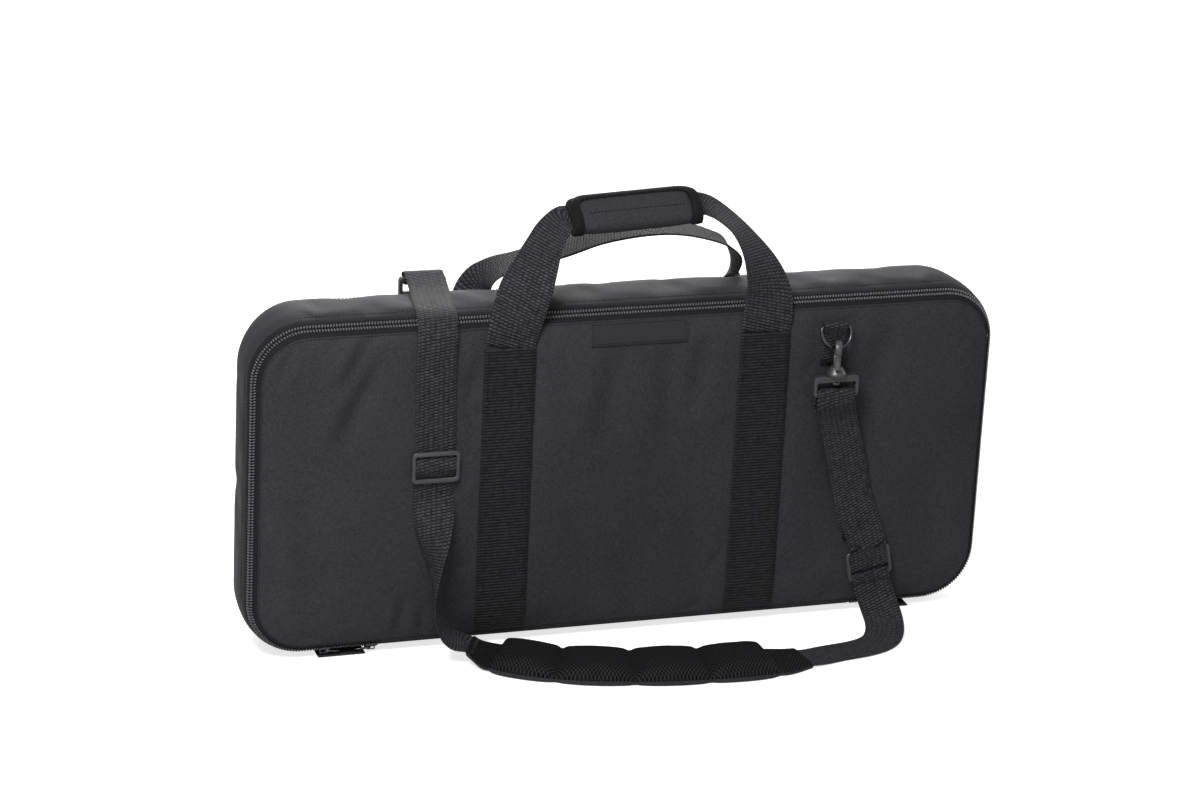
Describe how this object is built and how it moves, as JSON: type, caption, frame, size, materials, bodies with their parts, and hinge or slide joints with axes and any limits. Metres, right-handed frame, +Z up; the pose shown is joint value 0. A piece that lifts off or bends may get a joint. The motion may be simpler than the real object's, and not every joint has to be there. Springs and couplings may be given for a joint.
{
  "type": "telescope carry case",
  "caption": "Soft padded rectangular carry case with a zipped front lid, webbing handles with a padded grip, and a clip-on shoulder strap with a quilted pad.",
  "frame": {"origin": "middle of the case's underside on the floor, at half its length and half its depth between the two panel seams", "axes": "+X along the case's length to the right as the lid is faced, -Y out of the lid, +Z up to the handles"},
  "size_m": [0.7478, 0.2683, 0.4227],
  "materials": {
    "cloth": "woven nylon, padded",
    "foam": "closed-cell foam",
    "lining": "plain lining cloth",
    "zip_tape": "woven tape with nylon coil",
    "webbing": "ribbed woven webbing",
    "mesh": "quilted spacer mesh",
    "plastic": "moulded satin",
    "metal": "dark nickel plate",
    "loop_pile": "bare loop pile"
  },
  "bodies": {
    "case": {"gusset": "cloth", "gusset_foam": "foam", "case_lining": "lining", "back_foam": "foam", "back_panel": "cloth", "zip_tape_case": "zip_tape", "hinge_strip": "cloth", "back_band_left": "webbing", "back_band_right": "webbing", "back_ring_tab": "webbing", "back_ring": "metal", "back_hook": "plastic", "back_hook_frame": "plastic", "zip_end_tab_left": "webbing", "zip_end_tab_right": "webbing", "shoulder_pad": "mesh", "strap_left_upper": "webbing", "strap_left_lower": "webbing", "strap_right_lower": "webbing"},
    "lid": {"lid_panel": "cloth", "lid_foam": "foam", "lid_lining": "lining", "zip_tape_lid": "zip_tape", "front_band_left": "webbing", "front_band_right": "webbing", "label_patch": "loop_pile", "front_ring_tab": "webbing", "front_ring": "metal", "front_hook": "plastic", "front_hook_frame": "plastic", "slide_left": "plastic", "slide_right": "plastic", "strap_right_upper": "webbing"},
    "front_handle": {"front_handle": "webbing", "grip_wrap": "cloth", "grip_binding_left": "cloth", "grip_binding_right": "cloth"},
    "back_handle": {"back_handle": "webbing"},
    "front_gate": {"front_hook_gate": "plastic"},
    "back_gate": {"back_hook_gate": "plastic"},
    "left_slider": {"zip_slider_left": "metal"},
    "right_slider": {"zip_slider_right": "metal"},
    "left_pull": {"zip_pull_left": "metal"},
    "right_pull": {"zip_pull_right": "metal"}
  },
  "joints": [
    {"name": "lid_hinge", "type": "hinge", "parent": "case", "child": "lid", "pos_m": [0, -0.048, 0.013], "axis": [1, 0, 0], "range_deg": [0, 70], "deforming": ["strap_left_upper", "strap_left_lower", "strap_right_lower"]},
    {"name": "front_handle_hinge", "type": "hinge", "parent": "lid", "child": "front_handle", "pos_m": [0, -0.05615, 0.30048], "axis": [1, 0, 0], "range_deg": [0, 170]},
    {"name": "back_handle_hinge", "type": "hinge", "parent": "case", "child": "back_handle", "pos_m": [0, 0.05675, 0.30048], "axis": [-1, 0, 0], "range_deg": [0, 165]},
    {"name": "front_gate_hinge", "type": "hinge", "parent": "lid", "child": "front_gate", "pos_m": [0.19478, -0.07515, 0.2705], "axis": [-0.9511, 0.309, 0], "range_deg": [0, 18], "stiffness_Nm_per_rad": 0.05, "springref_deg": -11.46},
    {"name": "back_gate_hinge", "type": "hinge", "parent": "case", "child": "back_gate", "pos_m": [-0.18022, 0.07575, 0.3005], "axis": [-0.9511, -0.309, 0], "range_deg": [0, 18], "stiffness_Nm_per_rad": 0.05, "springref_deg": -11.46},
    {"name": "left_slider_slide", "type": "slide", "parent": "case", "child": "left_slider", "axis": [-1, 0, 0], "range_m": [0, 0.016]},
    {"name": "right_slider_slide", "type": "slide", "parent": "case", "child": "right_slider", "axis": [-1, 0, 0], "range_m": [0, 0.01]},
    {"name": "left_pull_hinge", "type": "hinge", "parent": "left_slider", "child": "left_pull", "pos_m": [-0.296, -0.04313, 0.00451], "axis": [0, -0.8619, 0.507], "range_deg": [0, 3]},
    {"name": "right_pull_hinge", "type": "hinge", "parent": "right_slider", "child": "right_pull", "pos_m": [-0.25, -0.04313, 0.00451], "axis": [0, 0.8619, -0.507], "range_deg": [0, 3]}
  ]
}
